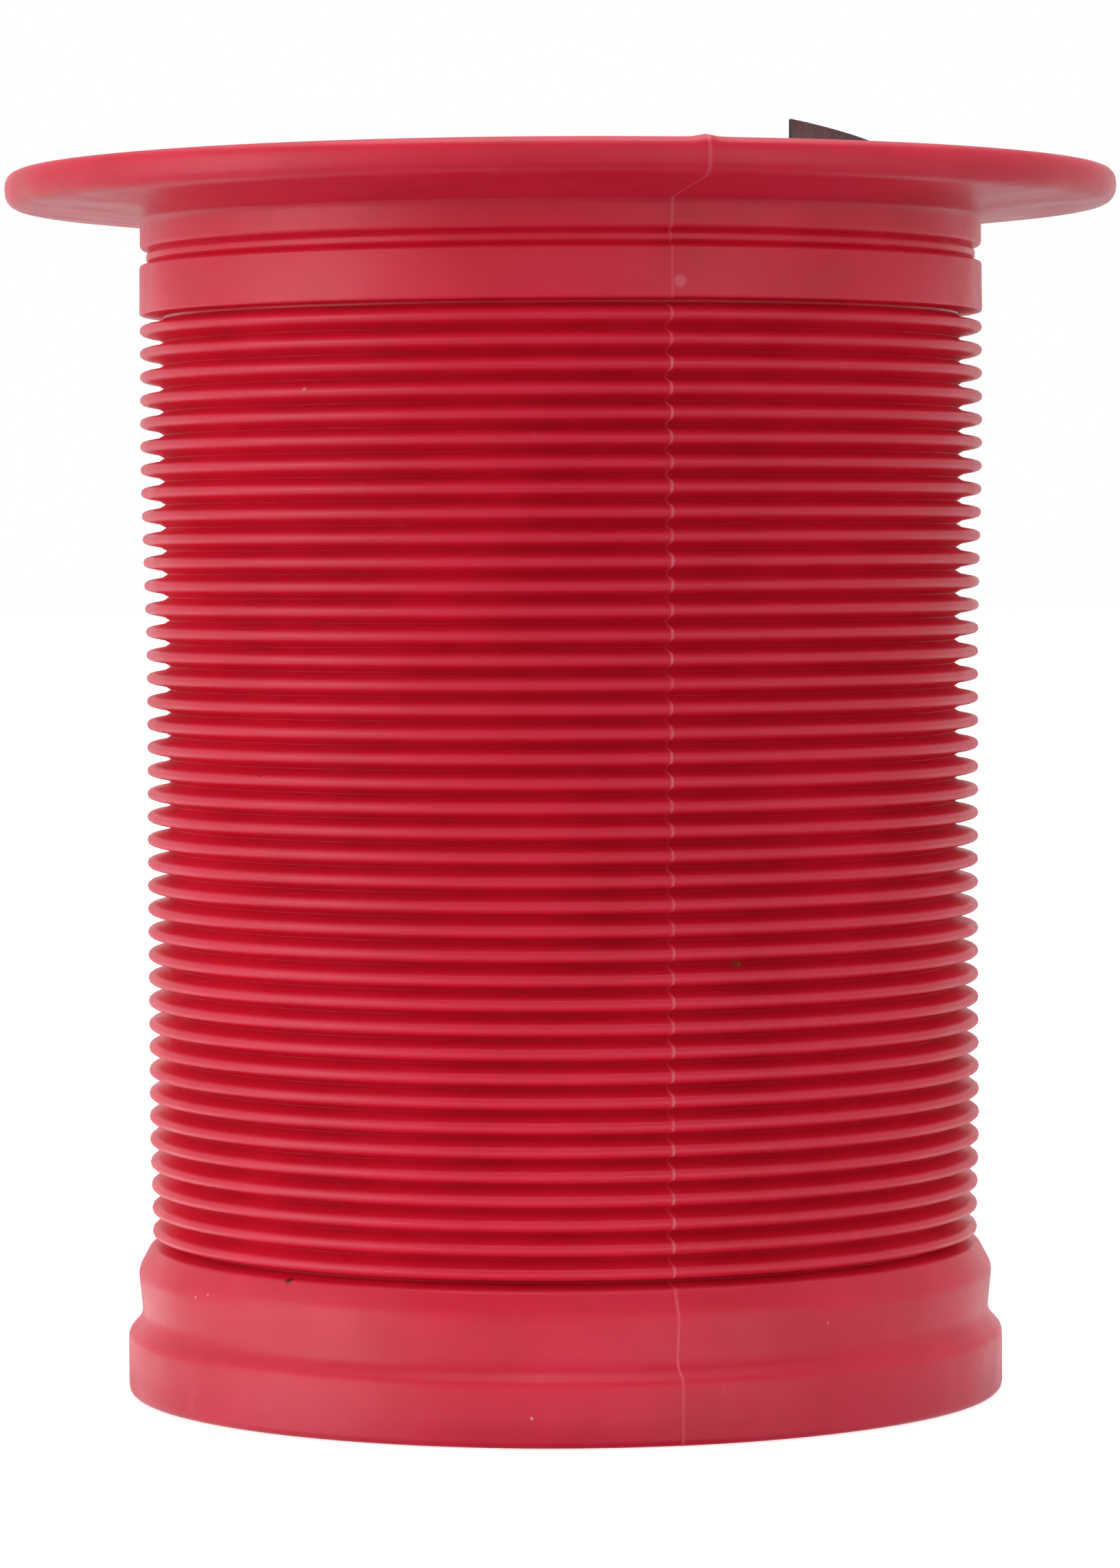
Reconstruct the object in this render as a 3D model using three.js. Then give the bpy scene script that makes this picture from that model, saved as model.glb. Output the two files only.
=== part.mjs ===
// An empty thread spool: a one-piece moulded barrel with a wide thin flange, forty ring ribs and a
// stepped foot, and a thin sheet liner rolled inside its bore, which lifts out through the top.
// Millimetres, +Z up. The origin is the centre of the foot's lower face.
import * as THREE from 'three';

// Barrel radii. Steps are measured outwards from the rib crests at the middle of the body.
const BODY_R = 22.56; // rib crests at the middle of the body
const FLANGE_OVERHANG = 7.44; // flange rim beyond the body
const PLINTH_STEP = 1.24;
const FOOT_FACE_STEP = 0.44; // foot face at its lower end, above the shoulder
const FOOT_LIP_STEP = 0.67; // foot face at its top, where it flares
const FOOT_CROWN_STEP = -0.02; // top of the foot, beside the first groove
const BAND_STEP = 0.25;
const NECK_STEP = 0.2;
const NECK_FILLET = 0.35;
const WALL = 1.65; // bore to the bottom of the deepest groove
const BORE_CHAMFER = 0.5;
const EDGE_BREAK = 0.4; // lower outer edge of the plinth

// Heights, from the foot up.
const PLINTH_H = 3.27;
const SHOULDER_H = 0.76;
const FOOT_FACE_H = 2.58;
const FOOT_CHAMFER_H = 1.25; // from the lip in to the crown
const FOOT_GROOVE_H = 0.255; // from there in to the bottom of the first groove
const TOP_GROOVE_H = 0.195; // extra width of the last groove, under the band
const BAND_H = 2.84;
const NOTCH_H = 0.65;
const NOTCH_CHAMFER_H = 0.25; // from the band in to the notch's floor
const NOTCH_DEPTH = 0.58;
const NOTCH_LEAN = 0.12; // the floor is this much shallower at its lower end
const NECK_BEVEL = 0.28; // lower corner of the neck
const NECK_H = 1.57;
const FLANGE_ROOT_T = 2.6;
const FLANGE_RIM_T = 1.85;

// Ribs.
const RIB_COUNT = 40;
const RIB_PITCH = 1.2505;
const RIB_DEPTH = 1.3;
const RIB_ROOT_T = 0.9;
const RIB_TIP_T = 0.46;
const TOP_SWELL = 0.24; // the crests stand this much further out under the band
const TOP_SWELL_FULL = 4; // ribs over which the swell is whole
const TOP_SWELL_END = 15; // rib where it has died away
const FOOT_PULL = 0.12; // the last crests above the foot stand this much further in
const FOOT_PULL_RIBS = 5;

// Liner: a sheet rolled with its outer end against the bore and its inner end lapped inside.
const LINER_T = 0.4;
const LINER_CLEARANCE = 0.3; // liner to bore
const LAP_GAP = 0.3; // between the two layers of the lap
const LAP_ANGLE = 40;
const FREE_EDGE_ANGLE = -51.4; // direction of the outer end, degrees from +X
const LINER_SETBACK = 0.5; // level top of the liner under the flange top
const CORNER_RISE = 1.83; // free corner above the flange top
const CORNER_RUN = 19.6; // length of sheet over which the corner falls to the level top

// Facets.
const TURN_FACETS = 24;
const RIM_FACETS = 5;
const LINER_STEPS = 40;
const SECTION_CORNERS = 4;

const FULL_TURN = 360;
const HALF_FACET = Math.PI / TURN_FACETS;

const boreR = BODY_R - FOOT_PULL - RIB_DEPTH - WALL;
const flangeR = BODY_R + FLANGE_OVERHANG;
const ribsBottom = PLINTH_H + SHOULDER_H + FOOT_FACE_H + FOOT_CHAMFER_H + FOOT_GROOVE_H;
const bandBottom = ribsBottom + RIB_COUNT * RIB_PITCH + TOP_GROOVE_H;
const bandTop = bandBottom + BAND_H;
const neckBottom = bandTop + NOTCH_H;
const neckTop = neckBottom + NECK_H;
const flangeTop = neckTop + FLANGE_ROOT_T;

/** Eases from 0 to 1 as value goes from start to end. */
function ease(value, start, end) {
  return THREE.MathUtils.smoothstep(value, start, end);
}

/** Crest radius of a rib, counted from 0 at the foot. */
function crestRadius(rib) {
  const fromTop = RIB_COUNT - 1 - rib;
  const swell = TOP_SWELL * (1 - ease(fromTop, TOP_SWELL_FULL, TOP_SWELL_END));
  const pull = FOOT_PULL * (1 - ease(rib, 0, FOOT_PULL_RIBS));
  return BODY_R + swell - pull;
}

/** Outline of the stepped foot, from the bore's lower mouth to the first groove. */
function footOutline() {
  const plinthR = BODY_R + PLINTH_STEP;
  const shoulderTop = PLINTH_H + SHOULDER_H;
  const lipHeight = shoulderTop + FOOT_FACE_H;
  return [
    [boreR + BORE_CHAMFER, 0],
    [plinthR - EDGE_BREAK, 0],
    [plinthR, EDGE_BREAK],
    [plinthR, PLINTH_H],
    [BODY_R + FOOT_FACE_STEP, shoulderTop],
    [BODY_R + FOOT_LIP_STEP, lipHeight],
    [BODY_R + FOOT_CROWN_STEP, lipHeight + FOOT_CHAMFER_H],
    [crestRadius(0) - RIB_DEPTH, ribsBottom],
  ];
}

/** Outline of the ribs, each centred in its own pitch. */
function ribOutline() {
  const points = [];
  for (let rib = 0; rib < RIB_COUNT; rib += 1) {
    const crest = crestRadius(rib);
    const root = crest - RIB_DEPTH;
    const middle = ribsBottom + (rib + 0.5) * RIB_PITCH;
    points.push([root, middle - RIB_ROOT_T / 2]);
    points.push([crest, middle - RIB_TIP_T / 2]);
    points.push([crest, middle + RIB_TIP_T / 2]);
    points.push([root, middle + RIB_ROOT_T / 2]);
  }
  return points;
}

/** Outline of the plain band, the notch above it and the neck under the flange. */
function bandOutline() {
  const bandR = BODY_R + BAND_STEP;
  const neckR = BODY_R + NECK_STEP;
  const floorR = neckR - NOTCH_DEPTH;
  return [
    [crestRadius(RIB_COUNT - 1) - RIB_DEPTH, bandBottom],
    [bandR, bandBottom],
    [bandR, bandTop],
    [floorR + NOTCH_LEAN, bandTop + NOTCH_CHAMFER_H],
    [floorR, neckBottom],
    [neckR - NECK_BEVEL, neckBottom],
    [neckR, neckBottom + NECK_BEVEL],
    [neckR, neckTop - NECK_FILLET],
    [neckR + NECK_FILLET, neckTop],
  ];
}

/** Outline of the flange's rounded rim and flat top, in to the bore's upper mouth. */
function flangeOutline() {
  const rimR = FLANGE_RIM_T / 2;
  const points = [];
  for (let step = 0; step <= RIM_FACETS; step += 1) {
    const angle = Math.PI * (step / RIM_FACETS - 0.5);
    const radius = flangeR - rimR + rimR * Math.cos(angle);
    points.push([radius, flangeTop - rimR + rimR * Math.sin(angle)]);
  }
  points.push([boreR + BORE_CHAMFER, flangeTop]);
  return points;
}

/** The barrel: one moulding, turned from a closed outline round the bore. */
function barrelGeometry() {
  const outline = [...footOutline(), ...ribOutline(), ...bandOutline(), ...flangeOutline()];
  outline.push([boreR, flangeTop - BORE_CHAMFER]);
  outline.push([boreR, BORE_CHAMFER]);
  outline.push(outline[0]);
  const points = outline.map(([radius, height]) => new THREE.Vector2(radius, height));
  const geometry = new THREE.LatheGeometry(points, TURN_FACETS);
  geometry.rotateX(Math.PI / 2);
  return geometry;
}

/** Height of the liner's top edge at a length of sheet from its free outer end. */
function linerTop(length) {
  const level = flangeTop - LINER_SETBACK;
  const fall = (CORNER_RISE + LINER_SETBACK) * (length / CORNER_RUN);
  return Math.max(level, flangeTop + CORNER_RISE - fall);
}

/** Four corners of the sheet's section at a share of its way round, from its outer end. */
function linerSection(share) {
  const turned = share * (FULL_TURN + LAP_ANGLE);
  const outerEnd = boreR * Math.cos(HALF_FACET) - LINER_CLEARANCE;
  const outerR = outerEnd - (LINER_T + LAP_GAP) * (turned / FULL_TURN);
  const angle = THREE.MathUtils.degToRad(FREE_EDGE_ANGLE + turned);
  const top = linerTop(THREE.MathUtils.degToRad(turned) * outerEnd);
  const corners = [
    [outerR - LINER_T, 0],
    [outerR, 0],
    [outerR, top],
    [outerR - LINER_T, top],
  ];
  return corners.map(([radius, z]) => [radius * Math.cos(angle), radius * Math.sin(angle), z]);
}

/** The liner: the sheet's section carried round its spiral, with both ends closed. */
function linerGeometry() {
  const positions = [];
  const faces = [];
  for (let step = 0; step <= LINER_STEPS; step += 1) {
    positions.push(...linerSection(step / LINER_STEPS).flat());
  }
  for (let step = 0; step < LINER_STEPS; step += 1) {
    for (let side = 0; side < SECTION_CORNERS; side += 1) {
      const a = step * SECTION_CORNERS + side;
      const b = step * SECTION_CORNERS + ((side + 1) % SECTION_CORNERS);
      const aNext = a + SECTION_CORNERS;
      const bNext = b + SECTION_CORNERS;
      faces.push(a, bNext, b, a, aNext, bNext);
    }
  }
  const last = LINER_STEPS * SECTION_CORNERS;
  faces.push(0, 1, 2, 0, 2, 3);
  faces.push(last, last + 2, last + 1, last, last + 3, last + 2);
  const geometry = new THREE.BufferGeometry();
  geometry.setAttribute('position', new THREE.Float32BufferAttribute(positions, 3));
  geometry.setIndex(faces);
  geometry.computeVertexNormals();
  return geometry;
}

/** A named piece with its own material. */
function piece(name, geometry, color, roughness) {
  const material = new THREE.MeshStandardMaterial({ color, roughness, metalness: 0 });
  const mesh = new THREE.Mesh(geometry, material);
  mesh.name = name;
  return mesh;
}

const spool = new THREE.Group();
spool.name = 'thread_spool';
spool.add(piece('spool_barrel', barrelGeometry(), 0xb81e34, 0.5));
spool.add(piece('bore_liner', linerGeometry(), 0x5c5150, 0.8));

export default spool;
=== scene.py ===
"""An empty moulded thread spool with a thin sheet liner rolled inside its bore.

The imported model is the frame. The barrel is drawn again with rounded ribs, the flash of its mould and the
small unevenness of a soft moulding, and the liner with its ridged, slanted free corner.

Sizes in the classes are millimetres, and directions are degrees from +X about the spool's axis.
Blender gets metres.
"""

import logging
import math
from dataclasses import dataclass, field
from enum import Enum
from typing import Any, Sequence

import bpy
import numpy as np
from mathutils import Matrix, Vector


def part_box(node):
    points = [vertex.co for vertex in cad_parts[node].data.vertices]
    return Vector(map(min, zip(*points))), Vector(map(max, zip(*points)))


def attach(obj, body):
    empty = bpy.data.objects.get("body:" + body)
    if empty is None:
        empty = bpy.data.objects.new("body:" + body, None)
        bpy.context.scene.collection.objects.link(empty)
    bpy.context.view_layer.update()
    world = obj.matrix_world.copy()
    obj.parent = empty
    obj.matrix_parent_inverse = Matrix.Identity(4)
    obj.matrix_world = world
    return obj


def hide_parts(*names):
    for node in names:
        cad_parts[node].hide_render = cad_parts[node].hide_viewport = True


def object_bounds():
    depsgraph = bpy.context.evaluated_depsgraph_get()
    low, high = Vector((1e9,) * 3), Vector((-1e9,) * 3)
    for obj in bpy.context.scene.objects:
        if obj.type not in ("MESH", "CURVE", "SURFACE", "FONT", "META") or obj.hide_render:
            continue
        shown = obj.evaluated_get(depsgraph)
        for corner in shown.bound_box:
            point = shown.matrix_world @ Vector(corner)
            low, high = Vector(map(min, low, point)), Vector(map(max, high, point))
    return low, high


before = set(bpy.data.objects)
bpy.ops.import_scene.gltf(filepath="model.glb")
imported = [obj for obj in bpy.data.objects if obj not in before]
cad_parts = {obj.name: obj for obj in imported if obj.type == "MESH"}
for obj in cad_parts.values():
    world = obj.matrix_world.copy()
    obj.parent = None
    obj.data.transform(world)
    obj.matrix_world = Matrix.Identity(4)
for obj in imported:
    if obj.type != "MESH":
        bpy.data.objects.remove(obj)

MM = 0.001
CAD_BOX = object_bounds()
LOG = logging.getLogger("thread_spool")


class Node(Enum):
    """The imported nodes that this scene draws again."""

    BARREL = "spool_barrel"
    LINER = "bore_liner"


class Body(Enum):
    """The rigid bodies that the pieces ride on."""

    BARREL = "barrel"
    LINER = "liner"


class Seam(Enum):
    """Directions in which the two halves of the mould met."""

    FRONT = -76.5
    BACK = 103.5


# ---------------------------------------------------------------------------------------------
# Shader helpers


def linear(code: str) -> tuple[float, float, float, float]:
    """Turns an sRGB hex colour into linear light.

    Args:
        code: six hex digits after a hash.

    Returns:
        Linear red, green, blue and an alpha of one.
    """
    values = [int(code[start:start + 2], 16) / 255 for start in (1, 3, 5)]
    light = [v / 12.92 if v <= 0.04045 else ((v + 0.055) / 1.055) ** 2.4 for v in values]
    return light[0], light[1], light[2], 1.0


def add_node(
    tree: bpy.types.NodeTree, kind: str, sockets: dict[Any, Any] | None = None, **settings: Any
) -> bpy.types.Node:
    """Adds a node, sets its properties, and fills or links its input sockets.

    Args:
        tree: the node tree that gets the node.
        kind: the node's type name, without its ShaderNode prefix.
        sockets: input name or number to a value, or to the output socket that feeds it.
        **settings: properties of the node itself.

    Returns:
        The new node.
    """
    node = tree.nodes.new("ShaderNode" + kind)
    for name, value in settings.items():
        setattr(node, name, value)
    for key, value in (sockets or {}).items():
        if isinstance(value, bpy.types.NodeSocket):
            tree.links.new(value, node.inputs[key])
        else:
            node.inputs[key].default_value = value
    return node


def blank_material(name: str) -> tuple[bpy.types.Material, bpy.types.NodeTree]:
    """Makes a material whose node tree is empty.

    Args:
        name: the material's name.

    Returns:
        The material and its node tree.
    """
    material = bpy.data.materials.new(name)
    material.use_nodes = True
    material.node_tree.nodes.clear()
    return material, material.node_tree


def pattern_scale(size_mm: float) -> float:
    """Texture scale whose pattern repeats about every size_mm, for coordinates in metres."""
    return 1 / (size_mm * MM)


# ---------------------------------------------------------------------------------------------
# Finishes


@dataclass(frozen=True)
class Spot:
    """A spot on the barrel, either a fleck or a dab of painted highlight: where it lies, how far it reaches
    in millimetres, and its colour.
    """

    direction: float
    height: float
    radius: float
    reach: float
    colour: str

    def middle(self) -> Vector:
        """The fleck's middle in metres."""
        turn = math.radians(self.direction)
        return Vector((self.radius * math.cos(turn), self.radius * math.sin(turn), self.height)) * MM


@dataclass(frozen=True)
class MouldedPolythene:
    """Soft low-density polythene, injection moulded in a matt steel mould and left as it came out.

    It gives the eye a deep waxy red that lets light a little way in, a broad soft sheen instead of a sharp
    highlight, and a paler line where thin flash has stretched and whitened.
    """

    name: str = "Low-density polythene, injection moulded"
    colour: str = "#f0264d"
    deep_colour: str = "#e42142"
    flash_colour: str = "#f48496"
    # Colour of pale pink patches scattered at random: a painted sheen.
    sheen_patch_colour: str = "#f04a6a"
    fleck_colour: str = "#d8a078"
    soot_colour: str = "#4a1018"
    ior: float = 1.51
    roughness_low: float = 0.3
    roughness_high: float = 0.45
    scatter_weight: float = 0.75
    scatter_mm: tuple[float, float, float] = (0.8, 0.2, 0.2)
    mottle_mm: float = 4.0
    mottle_range: tuple[float, float] = (0.25, 0.75)
    cloud_mm: float = 6.8
    cloud_range: tuple[float, float] = (0.35, 0.65)
    # Size and threshold of the patches of painted sheen.
    sheen_patch_mm: float = 2.3
    sheen_patch_range: tuple[float, float] = (0.62, 0.95)
    fleck_mm: float = 7.0
    fleck_range: tuple[float, float] = (0.012, 0.022)
    soot_mm: float = 11.2
    soot_range: tuple[float, float] = (0.006, 0.011)
    # Share of a listed spot's reach that is solid colour, for the flecks and the painted highlights alike.
    spot_core: float = 0.5
    flash_full: float = 0.9
    ripple_mm: float = 1.6
    ripple_depth_mm: float = 0.05
    ripple_strength: float = 0.35
    # A matt mould's grain is usually near 0.03 mm. It is drawn several times as coarse so that it shows.
    grain_mm: float = 0.16
    grain_depth_mm: float = 0.02
    grain_strength: float = 0.25
    # Listed spots: most are flecks, and two are painted highlights, marked below.
    spots: tuple[Spot, ...] = (
        Spot(-66.4, 24.30, 21.4, 0.28, "#b8703c"),
        # Painted highlight: a pale dab that stands for light caught on the tan fleck in the line above.
        Spot(-66.0, 24.36, 21.4, 0.11, "#f0c0a0"),
        Spot(-130.4, 7.82, 22.35, 0.3, "#300c10"),
        # Painted highlight: a pale pink spot on the band beside the front seam.
        Spot(-75.4, 59.16, 22.79, 0.42, "#f0667a"),
        Spot(-144.7, 6.7, 23.2, 0.09, "#e8c8c4"),
        Spot(-147.6, 6.47, 23.2, 0.08, "#e8c8c4"),
        Spot(-55.1, 5.75, 23.1, 0.1, "#e8b8b8"),
        Spot(-95.0, 1.6, 23.8, 0.1, "#e8b8b8"),
        Spot(35.0, 41.2, 22.5, 0.16, "#b8703c"),
        Spot(152.0, 15.0, 22.5, 0.14, "#300c10"),
    )

    def material(self) -> bpy.types.Material:
        """Builds the material.

        Returns:
            The material, which reads the mesh attribute "flash".
        """
        material, tree = blank_material(self.name)
        place = add_node(tree, "TexCoord").outputs["Object"]
        colour = self._colour(tree, place)
        mottle = add_node(
            tree, "TexNoise", {"Vector": place, "Scale": pattern_scale(self.mottle_mm), "Detail": 2.0}
        )
        low, high = self.mottle_range
        roughness = add_node(
            tree, "MapRange",
            {0: mottle.outputs[0], 1: low, 2: high, 3: self.roughness_low, 4: self.roughness_high},
        )
        shader = add_node(
            tree, "BsdfPrincipled",
            {
                "Base Color": colour,
                "Roughness": roughness.outputs[0],
                "IOR": self.ior,
                "Subsurface Weight": self.scatter_weight,
                "Subsurface Radius": self.scatter_mm,
                "Subsurface Scale": MM,
                "Normal": self._relief(tree, place),
            },
        )
        add_node(tree, "OutputMaterial", {"Surface": shader.outputs[0]})
        return material

    def _colour(self, tree: bpy.types.NodeTree, place: bpy.types.NodeSocket) -> bpy.types.NodeSocket:
        """Colour: slow mottling, pale pink patches of painted sheen at random, a few flecks moulded in, two
        dabs of painted highlight, and paler flash.

        Args:
            tree: the material's node tree.
            place: the object-space position.

        Returns:
            The colour socket.
        """
        cloud = add_node(
            tree, "TexNoise",
            {"Vector": place, "Scale": pattern_scale(self.cloud_mm), "Detail": 5.0, "Roughness": 0.6},
        )
        # Pale pink patches at random: painted sheen.
        sheen_patches = add_node(
            tree, "TexNoise",
            {"Vector": place, "Scale": pattern_scale(self.sheen_patch_mm), "Detail": 6.0, "Roughness": 0.7},
        )
        deep, light = linear(self.deep_colour), linear(self.colour)
        base = self._mix(tree, cloud.outputs[0], deep, light, *self.cloud_range)
        base = self._mix(tree, sheen_patches.outputs[0], base, linear(self.sheen_patch_colour), *self.sheen_patch_range)
        for size, colour, limits in (
            (self.fleck_mm, self.fleck_colour, self.fleck_range),
            (self.soot_mm, self.soot_colour, self.soot_range),
        ):
            specks = add_node(
                tree, "TexVoronoi", {"Vector": place, "Scale": pattern_scale(size), "Randomness": 1.0}
            )
            base = self._mix(tree, specks.outputs["Distance"], linear(colour), base, *limits)
        # The listed spots: flecks, and two dabs of painted highlight.
        for spot in self.spots:
            away = add_node(tree, "VectorMath", {0: place, 1: spot.middle()}, operation="DISTANCE")
            reach = spot.reach * MM
            base = self._mix(
                tree, away.outputs["Value"], linear(spot.colour), base, self.spot_core * reach, reach
            )
        flash = add_node(tree, "Attribute", attribute_name="flash").outputs["Fac"]
        return self._mix(tree, flash, base, linear(self.flash_colour), 0.0, self.flash_full)

    @staticmethod
    def _mix(
        tree: bpy.types.NodeTree, factor: bpy.types.NodeSocket, low: Any, high: Any, start: float, end: float
    ) -> bpy.types.NodeSocket:
        """Blends two colours as a factor goes from start to end.

        Args:
            tree: the material's node tree.
            factor: what drives the blend.
            low: colour or socket below start.
            high: colour or socket above end.
            start: factor where the blend begins.
            end: factor where it is complete.

        Returns:
            The blended colour.
        """
        share = add_node(tree, "MapRange", {0: factor, 1: start, 2: end, 3: 0.0, 4: 1.0})
        blend = add_node(tree, "Mix", {0: share.outputs[0], 6: low, 7: high}, data_type="RGBA")
        return blend.outputs[2]

    def _relief(self, tree: bpy.types.NodeTree, place: bpy.types.NodeSocket) -> bpy.types.NodeSocket:
        """Bump: the mould's matt grain and the slow ripple of shrinkage.

        Args:
            tree: the material's node tree.
            place: the object-space position.

        Returns:
            The normal socket.
        """
        ripple = add_node(
            tree, "TexNoise", {"Vector": place, "Scale": pattern_scale(self.ripple_mm), "Detail": 3.0}
        )
        slow = add_node(
            tree, "Bump",
            {
                "Height": ripple.outputs[0],
                "Strength": self.ripple_strength,
                "Distance": self.ripple_depth_mm * MM,
            },
        )
        grain = add_node(
            tree, "TexNoise", {"Vector": place, "Scale": pattern_scale(self.grain_mm), "Detail": 2.0}
        )
        fine = add_node(
            tree, "Bump",
            {
                "Height": grain.outputs[0],
                "Strength": self.grain_strength,
                "Distance": self.grain_depth_mm * MM,
                "Normal": slow.outputs[0],
            },
        )
        return fine.outputs[0]


@dataclass(frozen=True)
class CalenderedCard:
    """Dark fibre card, rolled smooth between calender bowls and cut with a knife.

    It gives the eye a dull grey-brown with a slight drag of fibres along the sheet and darker cut edges.
    """

    name: str = "Fibre card, calendered"
    colour: str = "#b39c9d"
    dark_colour: str = "#8a7a79"
    cut_colour: str = "#57504d"
    ior: float = 1.48
    roughness: float = 0.62
    # Paper fibres are usually near 0.03 mm wide. They are drawn much coarser so that they show.
    fibre_mm: float = 0.35
    fibre_drag: float = 0.12
    fibre_range: tuple[float, float] = (0.12, 0.38)
    fibre_depth_mm: float = 0.03
    fibre_strength: float = 0.4
    cloud_mm: float = 6.0

    def material(self) -> bpy.types.Material:
        """Builds the material.

        Returns:
            The material, which reads the mesh attribute "cut".
        """
        material, tree = blank_material(self.name)
        place = add_node(tree, "TexCoord").outputs["Object"]
        drawn = add_node(tree, "Mapping", {"Vector": place, "Scale": (1.0, 1.0, self.fibre_drag)})
        fibre = add_node(
            tree, "TexNoise",
            {"Vector": drawn.outputs[0], "Scale": pattern_scale(self.fibre_mm), "Detail": 4.0},
        )
        cloud = add_node(
            tree, "TexNoise", {"Vector": place, "Scale": pattern_scale(self.cloud_mm), "Detail": 3.0}
        )
        blend = add_node(
            tree, "Math", {0: fibre.outputs[0], 1: cloud.outputs[0]}, operation="MULTIPLY"
        )
        low, high = self.fibre_range
        share = add_node(tree, "MapRange", {0: blend.outputs[0], 1: low, 2: high, 3: 0.0, 4: 1.0})
        face = add_node(
            tree, "Mix",
            {0: share.outputs[0], 6: linear(self.dark_colour), 7: linear(self.colour)}, data_type="RGBA",
        )
        cut = add_node(tree, "Attribute", attribute_name="cut").outputs["Fac"]
        colour = add_node(
            tree, "Mix", {0: cut, 6: face.outputs[2], 7: linear(self.cut_colour)}, data_type="RGBA"
        )
        bump = add_node(
            tree, "Bump",
            {
                "Height": fibre.outputs[0],
                "Strength": self.fibre_strength,
                "Distance": self.fibre_depth_mm * MM,
            },
        )
        shader = add_node(
            tree, "BsdfPrincipled",
            {
                "Base Color": colour.outputs[2],
                "Roughness": self.roughness,
                "IOR": self.ior,
                "Normal": bump.outputs[0],
            },
        )
        add_node(tree, "OutputMaterial", {"Surface": shader.outputs[0]})
        return material


@dataclass(frozen=True)
class OpalTable:
    """Opal acrylic sheet, cast and sanded, lit from below, which gives the eye a plain white ground."""

    name: str = "Opal acrylic, cast and sanded"
    colour: str = "#f7f6f5"
    glow: float = 0.75
    roughness: float = 0.85
    # A sanded sheet's tooth is usually near 0.1 mm. It is drawn much coarser so that it shows.
    tooth_mm: float = 2.0
    tooth_depth_mm: float = 0.02
    tooth_strength: float = 0.1

    def material(self) -> bpy.types.Material:
        """Builds the material, with the sheet's slight tooth.

        Returns:
            The material.
        """
        material, tree = blank_material(self.name)
        place = add_node(tree, "TexCoord").outputs["Object"]
        tooth = add_node(
            tree, "TexNoise", {"Vector": place, "Scale": pattern_scale(self.tooth_mm), "Detail": 2.0}
        )
        bump = add_node(
            tree, "Bump",
            {
                "Height": tooth.outputs[0],
                "Strength": self.tooth_strength,
                "Distance": self.tooth_depth_mm * MM,
            },
        )
        shader = add_node(
            tree, "BsdfPrincipled",
            {
                "Base Color": linear(self.colour),
                "Roughness": self.roughness,
                "Emission Color": linear(self.colour),
                "Emission Strength": self.glow,
                "Normal": bump.outputs[0],
            },
        )
        add_node(tree, "OutputMaterial", {"Surface": shader.outputs[0]})
        return material


# ---------------------------------------------------------------------------------------------
# Mesh helpers


LEAST_CUT = 0.01  # a corner cut by less than this stays a plain point
MOST_OF_SIDE = 0.48  # a rounding takes at most this share of the side next to it


def smoothstep(value: np.ndarray | float, start: float, end: float) -> np.ndarray | float:
    """Eases from 0 to 1 as value goes from start to end.

    Args:
        value: one number or an array of them.
        start: value where the result leaves 0.
        end: value where it reaches 1.

    Returns:
        The eased share, of the same shape as value.
    """
    share = np.clip((value - start) / (end - start), 0.0, 1.0)
    return share * share * (3 - 2 * share)


@dataclass(frozen=True)
class Corner:
    """A corner of an outline: its radius and height, and how far from it the rounding starts."""

    radius: float
    height: float
    cut: float = 0.0
    steps: int = 3

    @property
    def place(self) -> np.ndarray:
        """The corner as a point."""
        return np.array([self.radius, self.height])


def rounded(corners: Sequence[Corner], longest: float) -> np.ndarray:
    """Rounds the corners of a closed outline and divides its long sides.

    Args:
        corners: the outline's corners in order.
        longest: the longest side left undivided.

    Returns:
        The outline's points, one row each.
    """
    points: list[np.ndarray] = []
    for index, corner in enumerate(corners):
        here = corner.place
        back = corners[index - 1].place - here
        ahead = corners[(index + 1) % len(corners)].place - here
        if corner.cut < LEAST_CUT:
            points.append(here)
            continue
        first = here + back * min(corner.cut / np.linalg.norm(back), MOST_OF_SIDE)
        last = here + ahead * min(corner.cut / np.linalg.norm(ahead), MOST_OF_SIDE)
        for step in range(corner.steps + 1):
            t = step / corner.steps
            points.append((1 - t) ** 2 * first + 2 * t * (1 - t) * here + t * t * last)
    divided: list[np.ndarray] = []
    for index, point in enumerate(points):
        after = points[(index + 1) % len(points)]
        spans = max(1, math.ceil(np.linalg.norm(after - point) / longest))
        divided.extend(point + (after - point) * (span / spans) for span in range(spans))
    return np.array(divided)


def outward(outline: np.ndarray) -> np.ndarray:
    """Unit normals of a closed outline that runs anticlockwise.

    Args:
        outline: the outline's points.

    Returns:
        One normal for each point.
    """
    along = np.roll(outline, -1, axis=0) - np.roll(outline, 1, axis=0)
    normal = np.stack([along[:, 1], -along[:, 0]], axis=1)
    return normal / np.linalg.norm(normal, axis=1, keepdims=True)


def mesh_piece(
    name: str,
    places: np.ndarray,
    faces: list[tuple[int, ...]],
    material: bpy.types.Material,
    attribute: tuple[str, np.ndarray],
    sharp_degrees: float,
) -> bpy.types.Object:
    """Makes a piece from points in millimetres.

    Args:
        name: the piece's name.
        places: its vertices, one row each.
        faces: vertex numbers of each face.
        material: its material.
        attribute: name and per-vertex values of what the material reads.
        sharp_degrees: edges that turn more than this stay crisp.

    Returns:
        The object, linked to the scene.
    """
    mesh = bpy.data.meshes.new(name)
    mesh.from_pydata((places * MM).tolist(), [], faces)
    mesh.materials.append(material)
    layer = mesh.attributes.new(attribute[0], "FLOAT", "POINT")
    layer.data.foreach_set("value", attribute[1].astype(np.float32))
    mesh.shade_smooth()
    mesh.set_sharp_from_angle(angle=math.radians(sharp_degrees))
    mesh.validate()
    piece = bpy.data.objects.new(name, mesh)
    bpy.context.scene.collection.objects.link(piece)
    return piece


# ---------------------------------------------------------------------------------------------
# Pieces


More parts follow.
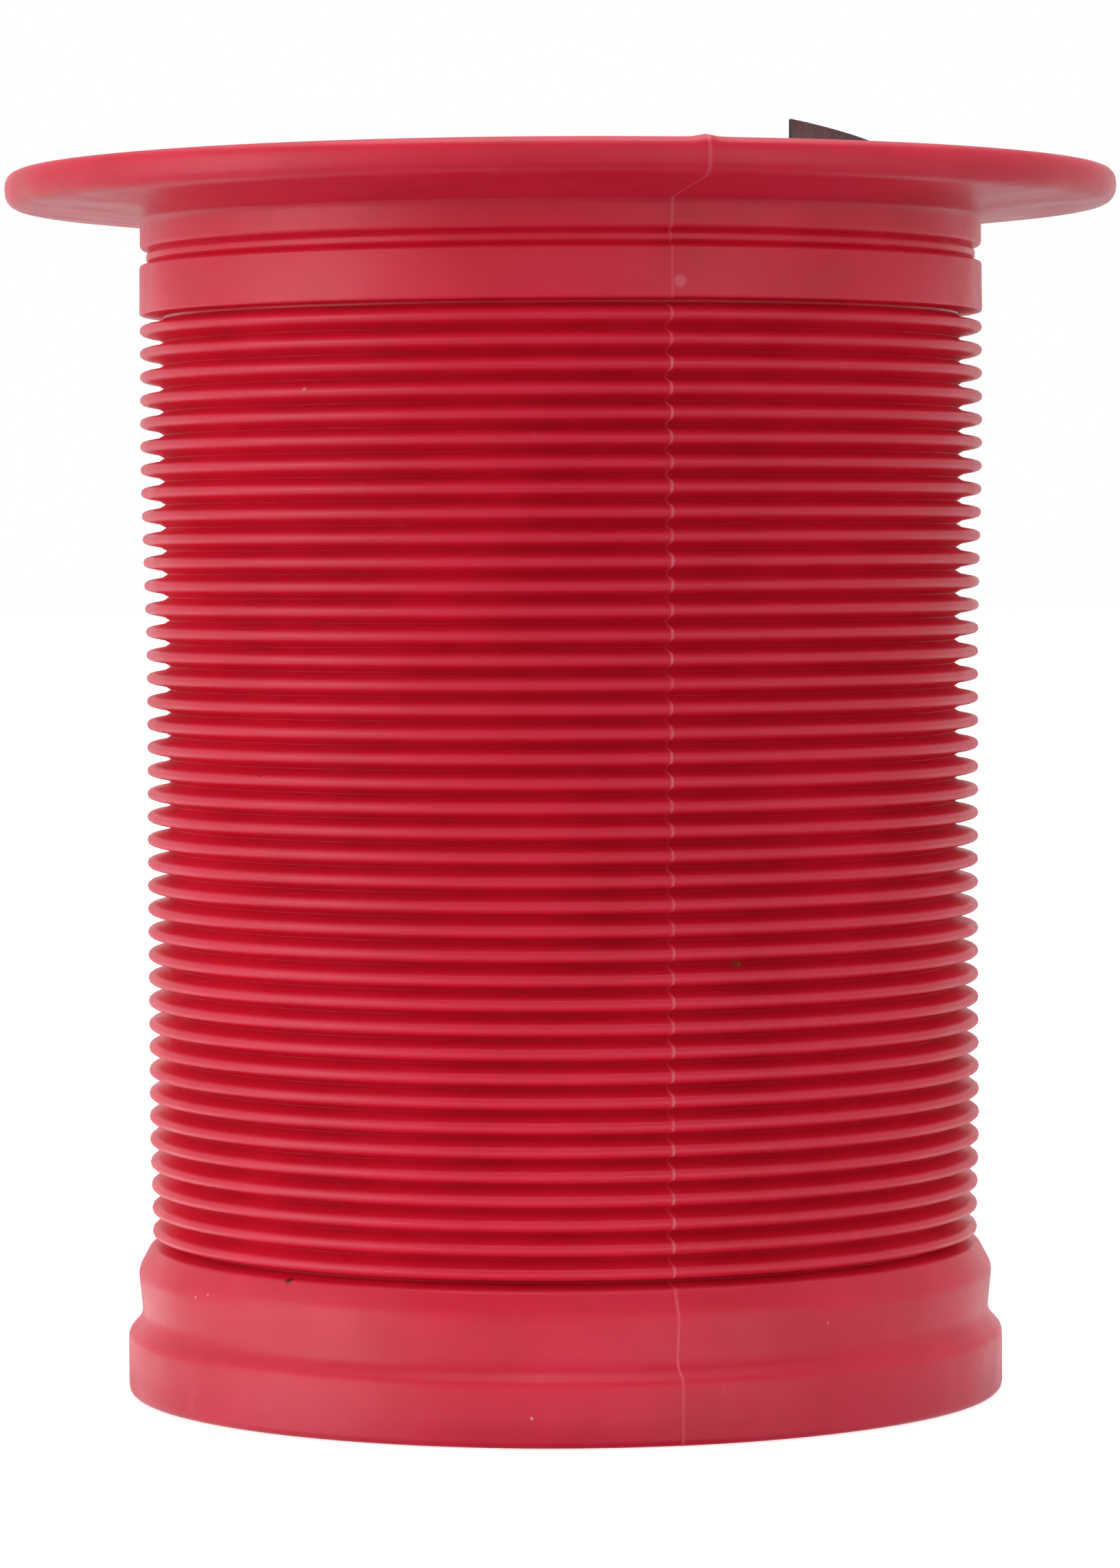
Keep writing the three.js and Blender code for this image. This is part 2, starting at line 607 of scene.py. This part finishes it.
@dataclass
class SpoolBarrel:
    """The barrel: one moulding with a flange, a neck, a band, forty ring ribs and a stepped foot.

    Fields that end in _r are radii, those in _z are heights above the foot, and those in _round say how far
    from a corner its rounding starts.
    """

    finish: MouldedPolythene
    body_r: float = 22.56
    bore_r: float = 19.49
    bore_chamfer: float = 0.5
    mouth_round: float = 0.25
    foot_mouth_round: float = 0.1
    plinth_r: float = 23.8
    plinth_top_z: float = 3.27
    plinth_foot_round: float = 0.42
    plinth_round: float = 0.3
    face_low_r: float = 22.99
    face_low_z: float = 4.1
    face_low_round: float = 0.55
    lip_r: float = 23.24
    lip_z: float = 6.62
    lip_round: float = 0.4
    crown_r: float = 22.54
    crown_z: float = 7.93
    crown_round: float = 0.22
    ribs_bottom: float = 8.115
    rib_count: int = 40
    rib_pitch: float = 1.2505
    rib_depth: float = 1.3
    rib_tip_t: float = 0.52
    rib_tip_round: float = 0.4
    rib_root_t: float = 1.0
    rib_root_round: float = 0.3
    end_groove_round: float = 0.1
    top_swell: float = 0.24
    top_swell_ribs: tuple[int, int] = (4, 15)
    foot_pull: float = 0.12
    foot_pull_ribs: int = 5
    band_r: float = 22.81
    band_bottom: float = 58.33
    band_top: float = 60.98
    band_low_round: float = 0.16
    band_round: float = 0.12
    band_draft: float = 0.02
    top_groove_rise: float = 0.04
    notch_r: float = 22.2
    notch_wall: float = 0.12
    notch_round: float = 0.06
    bead_r: float = 22.42
    bead_low: float = 61.28
    bead_high: float = 61.62
    bead_round: float = 0.1
    neck_r: float = 22.76
    neck_bottom: float = 61.92
    neck_round: float = 0.22
    neck_top: float = 63.39
    neck_fillet: float = 0.4
    rim_t: float = 1.85
    rim_round: float = 0.9
    round_gain: float = 0.06
    longest_side: float = 1.3
    turn_steps: int = 132
    crisp_degrees: float = 50
    # Columns of the mesh stand at these distances from a seam, round the body.
    seam_columns: tuple[float, ...] = (0.0, 0.055, 0.11, 0.18, 0.3, 0.55)
    seam_clearance: float = 1.2
    # The flash stands proud of the seam. Along it, one share is even, one changes quickly and one slowly.
    flash_half_width: float = 0.055
    flash_height: float = 0.05
    flash_in_grooves: float = 0.3
    flash_on_plain: float = 0.6
    flash_even: float = 0.25
    flash_quick: float = 0.35
    flash_slow: float = 0.5
    flash_slow_run: int = 9
    flash_seed: int = 7
    # The bore and the level faces carry none.
    bare_depth: float = 0.4
    bare_skin: float = 0.02
    # Where the front seam crosses the flange's upper edge it leaves a small swelling.
    smear_height: float = 0.12
    smear_half_width: float = 0.4
    smear_depth: float = 0.35
    smear_reach: float = 1.1
    # The flash line wanders sideways, and jogs once at the foot's shoulder.
    drift_reach: float = 0.5
    drift_slow: float = 0.03
    drift_quick: float = 0.015
    drift_jog: float = 0.1
    jog_lift: float = 0.6
    jog_run: float = 0.4
    # The mould's halves met this much out of line, outwards and upwards, except at the level faces.
    half_shift: float = 0.012
    half_margin: float = 0.5
    # The body is this much out of round, from nothing beside the bore to whole further out.
    wander: float = 0.02
    uneven_start: float = 0.4
    uneven_whole: float = 1.2
    low: Vector = field(default_factory=lambda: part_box(Node.BARREL.value)[0] / MM)
    high: Vector = field(default_factory=lambda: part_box(Node.BARREL.value)[1] / MM)

    @property
    def flange_r(self) -> float:
        """Radius of the flange, whose true round stands a little outside the model's facets."""
        return self.high.x + self.round_gain

    @property
    def top(self) -> float:
        """Height of the flange's upper face."""
        return self.high.z

    def crest(self, rib: int) -> float:
        """Crest radius of a rib.

        Args:
            rib: its number, counted from 0 at the foot.

        Returns:
            The radius, which swells under the band and draws in above the foot.
        """
        from_top = self.rib_count - 1 - rib
        swell = self.top_swell * (1 - smoothstep(from_top, *self.top_swell_ribs))
        pull = self.foot_pull * (1 - smoothstep(rib, 0, self.foot_pull_ribs))
        return self.body_r + swell - pull

    def foot_corners(self) -> list[Corner]:
        """Corners of the foot, from the bore's lower mouth to the first groove.

        Returns:
            The corners in order.
        """
        return [
            Corner(self.bore_r + self.bore_chamfer, self.low.z, self.foot_mouth_round),
            Corner(self.plinth_r, self.low.z, self.plinth_foot_round),
            Corner(self.plinth_r, self.plinth_top_z, self.plinth_round, 4),
            Corner(self.face_low_r, self.face_low_z, self.face_low_round, 5),
            Corner(self.lip_r, self.lip_z, self.lip_round, 5),
            Corner(self.crown_r, self.crown_z, self.crown_round, 4),
            Corner(self.crest(0) - self.rib_depth, self.ribs_bottom, self.end_groove_round, 2),
        ]

    def rib_corners(self) -> list[Corner]:
        """Corners of the ribs, each centred in its own pitch.

        Returns:
            The corners in order.
        """
        ribs: list[Corner] = []
        for rib in range(self.rib_count):
            crest = self.crest(rib)
            root = crest - self.rib_depth
            middle = self.ribs_bottom + (rib + 0.5) * self.rib_pitch
            ribs += [
                Corner(root, middle - self.rib_root_t / 2, self.rib_root_round, 1),
                Corner(crest, middle - self.rib_tip_t / 2, self.rib_tip_round),
                Corner(crest, middle + self.rib_tip_t / 2, self.rib_tip_round),
                Corner(root, middle + self.rib_root_t / 2, self.rib_root_round, 1),
            ]
        return ribs

    def upper_corners(self) -> list[Corner]:
        """Corners of the band, notch, neck and flange, and back down the bore.

        Returns:
            The corners in order.
        """
        last_root = self.crest(self.rib_count - 1) - self.rib_depth
        mouth = self.bore_r + self.bore_chamfer
        return [
            Corner(last_root, self.band_bottom - self.top_groove_rise, self.end_groove_round, 2),
            Corner(self.band_r, self.band_bottom, self.band_low_round),
            Corner(self.band_r - self.band_draft, self.band_top, self.band_round),
            Corner(self.notch_r, self.band_top + self.notch_wall, self.notch_round, 2),
            Corner(self.bead_r, self.bead_low, self.bead_round),
            Corner(self.bead_r, self.bead_high, self.bead_round),
            Corner(self.notch_r, self.neck_bottom - self.notch_wall, self.notch_round, 2),
            Corner(self.neck_r, self.neck_bottom, self.neck_round, 4),
            Corner(self.neck_r, self.neck_top, self.neck_fillet),
            Corner(self.flange_r, self.top - self.rim_t, self.rim_round, 5),
            Corner(self.flange_r, self.top, self.rim_round, 5),
            Corner(mouth, self.top, self.mouth_round),
            Corner(self.bore_r, self.top - self.bore_chamfer, self.mouth_round),
            Corner(self.bore_r, self.low.z + self.bore_chamfer, self.mouth_round),
        ]

    def stations(self) -> np.ndarray:
        """Directions of the mesh's columns: even steps, with more beside each seam.

        Returns:
            The directions in radians, in order.
        """
        even = np.linspace(-math.pi, math.pi, self.turn_steps, endpoint=False)
        beside = np.array(self.seam_columns) / self.body_r
        near: list[float] = []
        for seam in Seam:
            middle = math.radians(seam.value)
            near.extend(middle + beside)
            near.extend(middle - beside[1:])
            even = even[np.abs(even - middle) > beside[-1] * self.seam_clearance]
        return np.sort(np.concatenate([even, near]))

    def flash_strength(self, outline: np.ndarray) -> np.ndarray:
        """How much flash stands on each point of the outline, from 0 to 1.

        Args:
            outline: the section's points.

        Returns:
            One value for each point: strongest on the crests, weaker on plain faces, and none in the bore.
        """
        rng = np.random.default_rng(self.flash_seed)
        rough = rng.random(len(outline))
        knots = np.arange(0, len(outline), self.flash_slow_run)
        slow = np.interp(np.arange(len(outline)), knots, rng.random(len(knots)))
        radius, height = outline[:, 0], outline[:, 1]
        root = self.body_r - self.rib_depth
        depth = np.clip((radius - root) / self.rib_depth, 0, 1)
        share = self.flash_in_grooves + (1 - self.flash_in_grooves) * depth
        strength = share * (self.flash_even + self.flash_quick * rough + self.flash_slow * slow)
        strength[(height < self.ribs_bottom) | (height > self.band_bottom)] *= self.flash_on_plain
        inside = radius < root - self.bare_depth
        top_face = (height > self.top - self.bare_skin) & (radius < self.flange_r - self.rim_round)
        base_face = height < self.low.z + self.bare_skin
        strength[inside | top_face | base_face] = 0
        return strength

    def seam_drift(self, height: np.ndarray, seam: Seam) -> np.ndarray:
        """Sideways drift of the flash line, with a jog at the foot's shoulder.

        Args:
            height: height of each point of the outline.
            seam: which seam it is.

        Returns:
            The drift in millimetres round the body.
        """
        slow = self.drift_slow * np.sin(height * 0.35 + seam.value)
        quick = self.drift_quick * np.sin(height * 2.3)
        jog = self.drift_jog * smoothstep(self.plinth_top_z + self.jog_lift - height, 0, self.jog_run)
        return slow + quick + jog

    def rim_smear(self, outline: np.ndarray, away: np.ndarray) -> np.ndarray:
        """The small swelling that the front seam leaves on the flange's upper edge.

        Args:
            outline: the section's points.
            away: distance of each column from the seam, round the body.

        Returns:
            How far each vertex stands out, one row for each point of the outline.
        """
        across = self.smear_height * np.exp(-((away / self.smear_half_width) ** 2))
        on_edge = np.exp(-(((outline[:, 1] - self.top) / self.smear_depth) ** 2))
        on_edge = on_edge * (outline[:, 0] > self.flange_r - self.smear_reach)
        return on_edge[:, None] * across[None, :]

    def wobble(self, turn: np.ndarray, height: np.ndarray) -> np.ndarray:
        """Small unevenness of a soft moulding that cooled a little out of round.

        Args:
            turn: direction of each vertex in radians.
            height: height of each vertex.

        Returns:
            Radial change in millimetres.
        """
        slow = np.sin(2 * turn + 0.7 + height * 0.02) + 0.6 * np.sin(3 * turn - height * 0.05)
        quick = 0.5 * np.sin(7 * turn + height * 0.21) + 0.4 * np.sin(11 * turn - height * 0.33 + 1.1)
        return self.wander * (slow + quick)

    def surface(self, outline: np.ndarray, angles: np.ndarray) -> tuple[np.ndarray, np.ndarray]:
        """Turns the section round the axis, with flash, mould shift and unevenness.

        Args:
            outline: the section's points.
            angles: directions of the columns in radians.

        Returns:
            Vertex places and how much flash each vertex carries, both by row and column.
        """
        normal = outward(outline)
        strength = self.flash_strength(outline)
        radius = np.repeat(outline[:, :1], len(angles), axis=1)
        height = np.repeat(outline[:, 1:], len(angles), axis=1)
        turn = np.repeat(angles[None, :], len(outline), axis=0)
        flash = np.zeros_like(radius)
        proud = np.zeros_like(radius)
        for seam in Seam:
            away = (angles - math.radians(seam.value)) * self.body_r
            ridge = np.clip(1 - np.abs(away) / (2 * self.flash_half_width), 0, 1)
            flash += strength[:, None] * ridge[None, :]
            near = np.clip(1 - np.abs(away) / self.drift_reach, 0, 1)
            drift = self.seam_drift(outline[:, 1], seam)
            turn += near[None, :] * drift[:, None] / self.body_r
            if seam is Seam.FRONT:
                proud += self.rim_smear(outline, away)
        proud += flash * self.flash_height
        radius += proud * normal[:, :1]
        height += proud * normal[:, 1:]
        start, whole = self.bore_r + self.uneven_start, self.bore_r + self.uneven_whole
        outer = smoothstep(outline[:, :1], start, whole)
        half = np.sign(np.sin(angles - math.radians(Seam.FRONT.value)))[None, :]
        radius += self.half_shift * half * outer
        low, high = self.half_margin, self.top - self.half_margin
        lifted = outer * (outline[:, 1:] > low) * (outline[:, 1:] < high)
        height += self.half_shift * half * lifted
        radius += outer * self.wobble(turn, height)
        return np.stack([radius * np.cos(turn), radius * np.sin(turn), height], axis=-1), flash

    @staticmethod
    def skin(rows: int, columns: int) -> list[tuple[int, ...]]:
        """Faces of a closed ring of rows and columns.

        Args:
            rows: points round the section.
            columns: sections round the axis.

        Returns:
            Vertex numbers of each face.
        """
        number = np.arange(rows * columns).reshape(rows, columns)
        beside, above = np.roll(number, -1, axis=1), np.roll(number, -1, axis=0)
        corner = np.roll(above, -1, axis=1)
        return np.stack([number, beside, corner, above], axis=-1).reshape(-1, 4).tolist()

    def build(self) -> bpy.types.Object:
        """Draws the barrel and puts it on its body.

        Returns:
            The finished piece.
        """
        corners = self.foot_corners() + self.rib_corners() + self.upper_corners()
        outline = rounded(corners, self.longest_side)
        angles = self.stations()
        places, flash = self.surface(outline, angles)
        piece = mesh_piece(
            "barrel_moulding", places.reshape(-1, 3), self.skin(len(outline), len(angles)),
            self.finish.material(), ("flash", np.clip(flash, 0, 1).ravel()), self.crisp_degrees,
        )
        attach(piece, Body.BARREL.value)
        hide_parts(Node.BARREL.value)
        return piece


@dataclass
class BoreLiner:
    """The liner: a thin sheet rolled in the bore, lapped, with its free corner above the flange."""

    finish: CalenderedCard
    outer_r: float = 19.0
    thickness: float = 0.38
    lap_drop: float = 0.7
    lap_angle: float = 40.0
    free_edge: float = -51.4
    setback: float = 0.5
    corner_run: float = 19.6
    edge_round: float = 0.07
    ridge_pitch: float = 0.22
    ridge_depth: float = 0.035
    ridged_length: float = 0.75
    columns_per_ridge: int = 6
    close_beyond: float = 0.4
    coarse_step: float = 1.2
    row_step: float = 4.0
    buckle: float = 0.03
    edge_darkening: float = 0.8
    crisp_degrees: float = 40
    flange_top: float = field(default_factory=lambda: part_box(Node.BARREL.value)[1].z / MM)
    high: Vector = field(default_factory=lambda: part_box(Node.LINER.value)[1] / MM)

    def top_at(self, length: np.ndarray) -> np.ndarray:
        """Height of the sheet's top edge.

        Args:
            length: lengths of sheet from the free outer end.

        Returns:
            The height at each length: down a straight slant from the free corner, then level.
        """
        level = self.flange_top - self.setback
        fall = (self.high.z - level) * length / self.corner_run
        return np.maximum(level, self.high.z - fall)

    def columns(self) -> np.ndarray:
        """Lengths of sheet at which the mesh has a column: close over the ridges, then wide.

        Returns:
            The lengths from the free outer end, in order.
        """
        whole = math.radians(360 + self.lap_angle) * self.outer_r
        close_step = self.ridge_pitch / self.columns_per_ridge
        close = np.arange(0, self.ridged_length + self.close_beyond, close_step)
        count = math.ceil((whole - close[-1]) / self.coarse_step)
        return np.concatenate([close, np.linspace(close[-1], whole, count + 1)[1:]])

    def section_rows(self) -> list[tuple[float, float]]:
        """Rows round the sheet's section: up its outside, then down its inside.

        Returns:
            For each row, its share of the thickness from outside and its share of the height.
        """
        steps = math.ceil(self.flange_top / self.row_step)
        outside = [(0.0, step / steps) for step in range(steps + 1)]
        inside = [(1.0, step / steps) for step in range(steps, -1, -1)]
        return outside + inside

    def surface(self, lengths: np.ndarray) -> tuple[np.ndarray, np.ndarray]:
        """Rolls the sheet's section round its spiral, with its ridges and a slight buckle.

        Args:
            lengths: lengths of sheet at which there is a column.

        Returns:
            Vertex places and how much of a cut edge each vertex is, both by column and row.
        """
        top = self.top_at(lengths)
        turned = lengths / self.outer_r
        angle = math.radians(self.free_edge) + turned
        base_r = self.outer_r - self.lap_drop * turned / (2 * math.pi)
        fade = 1 - smoothstep(lengths, self.ridged_length / 2, self.ridged_length)
        ridge = self.ridge_depth * fade * (0.5 - 0.5 * np.cos(2 * math.pi * lengths / self.ridge_pitch))
        rows = self.section_rows()
        places = np.zeros((len(lengths), len(rows), 3))
        cut = np.zeros((len(lengths), len(rows)))
        for index, (across, up) in enumerate(rows):
            end = up in (0.0, 1.0)
            inset = self.edge_round if end else 0.0
            radius = base_r - across * self.thickness
            radius = radius - ridge - inset if across == 0 else radius + inset
            radius = radius + self.buckle * np.sin(lengths * 0.19 + up * 2.0) * np.sin(math.pi * up)
            places[:, index] = np.stack([radius * np.cos(angle), radius * np.sin(angle), top * up], axis=-1)
            cut[:, index] = self.edge_darkening if end else 0.0
        cut[[0, -1], :] = 1
        return places, cut

    @staticmethod
    def skin(columns: int, rows: int) -> list[tuple[int, ...]]:
        """Faces of the sheet, closed at both ends.

        Args:
            columns: sections along the sheet.
            rows: points round the section.

        Returns:
            Vertex numbers of each face.
        """
        number = np.arange(columns * rows).reshape(columns, rows)
        here, along = number[:-1], number[1:]
        around, far = np.roll(here, -1, axis=1), np.roll(along, -1, axis=1)
        faces = np.stack([here, along, far, around], axis=-1).reshape(-1, 4).tolist()
        return faces + [tuple(number[0].tolist()), tuple(number[-1][::-1].tolist())]

    def build(self) -> bpy.types.Object:
        """Draws the liner and puts it on its body.

        Returns:
            The finished piece.
        """
        places, cut = self.surface(self.columns())
        piece = mesh_piece(
            "liner_sheet", places.reshape(-1, 3), self.skin(*cut.shape),
            self.finish.material(), ("cut", cut.ravel()), self.crisp_degrees,
        )
        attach(piece, Body.LINER.value)
        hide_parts(Node.LINER.value)
        return piece


# ---------------------------------------------------------------------------------------------
# Studio


def heading(direction: float, elevation: float) -> Vector:
    """Unit vector from the spool out into the room.

    Args:
        direction: degrees from +X about the spool's axis.
        elevation: degrees above the level.

    Returns:
        The vector.
    """
    turn, rise = math.radians(direction), math.radians(elevation)
    return Vector((math.cos(turn) * math.cos(rise), math.sin(turn) * math.cos(rise), math.sin(rise)))


@dataclass(frozen=True)
class Softbox:
    """A flat lamp behind white cloth, aimed at the spool.

    Its direction and elevation are degrees, its distance is metres, and its half angles say how wide and
    tall it looks from the spool. Its glow is its brightness beside white paper.
    """

    name: str
    direction: float
    elevation: float
    half_width: float
    half_height: float
    glow: float
    distance: float = 1.0

    def build(self, target: Vector) -> bpy.types.Object:
        """Hangs the lamp and aims it.

        Args:
            target: the point that it faces.

        Returns:
            The lamp.
        """
        light = bpy.data.lights.new(self.name, "AREA")
        light.shape = "RECTANGLE"
        light.size = 2 * self.distance * math.tan(math.radians(self.half_width))
        light.size_y = 2 * self.distance * math.tan(math.radians(self.half_height))
        light.energy = self.glow * math.pi * light.size * light.size_y
        away = heading(self.direction, self.elevation)
        lamp = bpy.data.objects.new(self.name, light)
        lamp.location = target + away * self.distance
        lamp.rotation_euler = away.to_track_quat("Z", "Y").to_euler()
        bpy.context.scene.collection.objects.link(lamp)
        return lamp


@dataclass(frozen=True)
class Card:
    """A patch of the lit table beside the foot, in millimetres from the spool's axis."""

    name: str
    middle_x: float
    middle_y: float
    width: float
    depth: float
    glow: float
    lift: float = 0.5

    def build(self) -> bpy.types.Object:
        """Lays the patch just over the table, shining upwards.

        Returns:
            The lamp.
        """
        light = bpy.data.lights.new(self.name, "AREA")
        light.shape = "RECTANGLE"
        light.size, light.size_y = self.width * MM, self.depth * MM
        light.energy = self.glow * math.pi * light.size * light.size_y
        lamp = bpy.data.objects.new(self.name, light)
        lamp.location = Vector((self.middle_x, self.middle_y, self.lift)) * MM
        lamp.rotation_euler = (math.pi, 0.0, 0.0)
        lamp.visible_camera = False
        bpy.context.scene.collection.objects.link(lamp)
        return lamp


@dataclass(frozen=True)
class Wash:
    """Light off one part of the room: full inside one angle from its middle, and gone outside another."""

    direction: float
    elevation: float
    full: float
    gone: float
    glow: float


@dataclass
class Studio:
    """A lit white table in a white room, two softboxes and the camera.

    The table's half width and the camera's clip distances are metres. The camera's place is millimetres,
    and its pitch, yaw and roll are degrees.
    """

    table_finish: OpalTable
    table_half: float = 4.0
    table_drop: float = 0.02
    lens: float = 135.98
    clip: tuple[float, float] = (0.01, 20.0)
    camera_x: float = -4.79
    camera_y: float = -322.34
    camera_z: float = 45.63
    pitch: float = 2.2728
    yaw: float = -0.825
    roll: float = -0.273
    softboxes: tuple[Softbox, ...] = (
        Softbox("left_softbox", 200.0, 2.0, 22.0, 25.0, 1.17),
        Softbox("right_softbox", -52.0, 0.0, 22.0, 25.0, 0.34),
    )
    cards: tuple[Card, ...] = (
        Card("front_card", 0.0, -40.0, 70.0, 26.0, 0.46),
        Card("left_card", -40.0, 0.0, 26.0, 70.0, 0.35),
        Card("right_card", 40.0, 0.0, 26.0, 70.0, 0.19),
    )
    washes: tuple[Wash, ...] = (
        Wash(0.0, 90.0, 10.0, 30.0, 1.88),
        Wash(90.0, 70.0, 10.0, 40.0, 1.24),
        Wash(90.0, 30.0, 10.0, 50.0, 0.3),
        Wash(90.0, -20.0, 15.0, 60.0, 0.7),
        Wash(180.0, 0.0, 25.0, 75.0, 0.57),
        Wash(190.0, 25.0, 10.0, 45.0, 0.18),
        Wash(0.0, 0.0, 25.0, 75.0, 0.55),
        Wash(-90.0, 0.0, 10.0, 60.0, 0.43),
        Wash(-90.0, 30.0, 10.0, 40.0, 0.15),
        Wash(160.0, -45.0, 15.0, 60.0, 0.18),
    )

    def build(self) -> None:
        """Lays the table, lights the room and sets the camera."""
        self.table()
        self.room()
        middle = Vector((0, 0, (CAD_BOX[0].z + CAD_BOX[1].z) / 2))
        for softbox in self.softboxes:
            softbox.build(middle)
        for card in self.cards:
            card.build()
        self.camera()
        bpy.context.scene.view_settings.view_transform = "Standard"

    def table(self) -> None:
        """Lays the table just under the foot, lit so evenly that it throws nothing back at the spool."""
        half = self.table_half
        mesh = bpy.data.meshes.new("table")
        low = -self.table_drop * MM
        mesh.from_pydata(
            [(-half, -half, low), (half, -half, low), (half, half, low), (-half, half, low)],
            [], [(0, 1, 2, 3)],
        )
        mesh.materials.append(self.table_finish.material())
        table = bpy.data.objects.new("table", mesh)
        table.visible_diffuse = False
        table.visible_glossy = False
        table.visible_transmission = False
        table.visible_shadow = False
        bpy.context.scene.collection.objects.link(table)

    def room(self) -> None:
        """Fills the room with its washes of light, and shows it as plain white."""
        world = bpy.data.worlds.new("white_room")
        world.use_nodes = True
        tree = world.node_tree
        tree.nodes.clear()
        way = add_node(tree, "TexCoord").outputs["Generated"]
        total: Any = 0.0
        for wash in self.washes:
            axis = tuple(heading(wash.direction, wash.elevation))
            toward = add_node(tree, "VectorMath", {0: way, 1: axis}, operation="DOT_PRODUCT")
            edge, core = math.cos(math.radians(wash.gone)), math.cos(math.radians(wash.full))
            share = add_node(
                tree, "MapRange",
                {0: toward.outputs["Value"], 1: edge, 2: core, 3: 0.0, 4: wash.glow},
                interpolation_type="SMOOTHSTEP",
            )
            total = add_node(tree, "Math", {0: total, 1: share.outputs[0]}, operation="ADD").outputs[0]
        seen = add_node(tree, "LightPath").outputs["Is Camera Ray"]
        level = add_node(tree, "Mix", {0: seen, 2: total, 3: 1.0}, data_type="FLOAT")
        glow = add_node(tree, "Background", {"Color": linear("#ffffff"), "Strength": level.outputs[0]})
        add_node(tree, "OutputWorld", {"Surface": glow.outputs[0]})
        bpy.context.scene.world = world

    def camera(self) -> None:
        """Sets the camera in front of the spool, a little above its middle."""
        data = bpy.data.cameras.new("camera")
        data.lens = self.lens
        data.clip_start, data.clip_end = self.clip
        camera = bpy.data.objects.new("camera", data)
        place = Matrix.Translation(Vector((self.camera_x, self.camera_y, self.camera_z)) * MM)
        aim = Matrix.Rotation(math.radians(self.yaw), 4, "Z")
        tilt = Matrix.Rotation(math.radians(90 - self.pitch), 4, "X")
        lean = Matrix.Rotation(math.radians(self.roll), 4, "Z")
        camera.matrix_world = place @ aim @ tilt @ lean
        bpy.context.scene.collection.objects.link(camera)
        bpy.context.scene.camera = camera


def main() -> None:
    """Builds the spool and its studio, and reports each piece."""
    logging.basicConfig(level=logging.INFO, format="%(name)s: %(message)s")
    Studio(OpalTable()).build()
    for maker in (SpoolBarrel(MouldedPolythene()), BoreLiner(CalenderedCard())):
        piece = maker.build()
        LOG.info("%s: %d faces, %s mm", piece.name, len(piece.data.polygons),
                 [round(side / MM, 2) for side in piece.dimensions])


if __name__ == "__main__":
    main()
